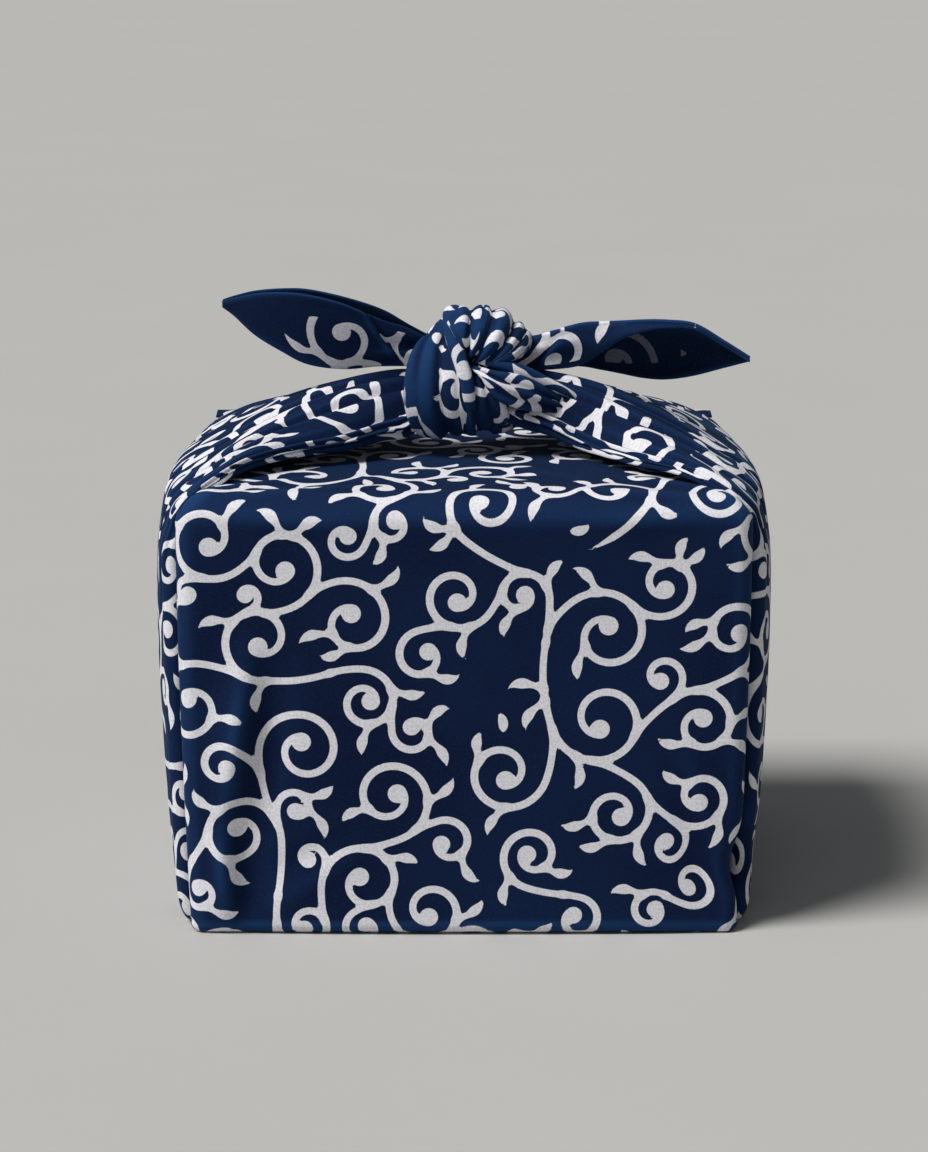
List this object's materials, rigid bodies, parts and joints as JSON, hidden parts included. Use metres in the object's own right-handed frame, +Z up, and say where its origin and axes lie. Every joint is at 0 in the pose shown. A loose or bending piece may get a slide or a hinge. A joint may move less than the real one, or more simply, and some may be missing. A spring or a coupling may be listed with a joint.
{
  "type": "furoshiki wrap",
  "caption": "Square printed cotton cloth folded round a box-shaped load and tied on top in a square knot, with a finger gap under each strap.",
  "frame": {"origin": "centre of the flat base, on the surface the parcel stands on", "axes": "+Z up to the knot, +X along the straps to the parcel's right as seen from its front, -Y out of the front face"},
  "size_m": [0.2728, 0.2134, 0.2644],
  "materials": {
    "printed_cotton": "matte plain weave, indigo with an off-white karakusa scroll print"
  },
  "bodies": {
    "root": {"furoshiki": "printed_cotton"}
  },
  "joints": []
}
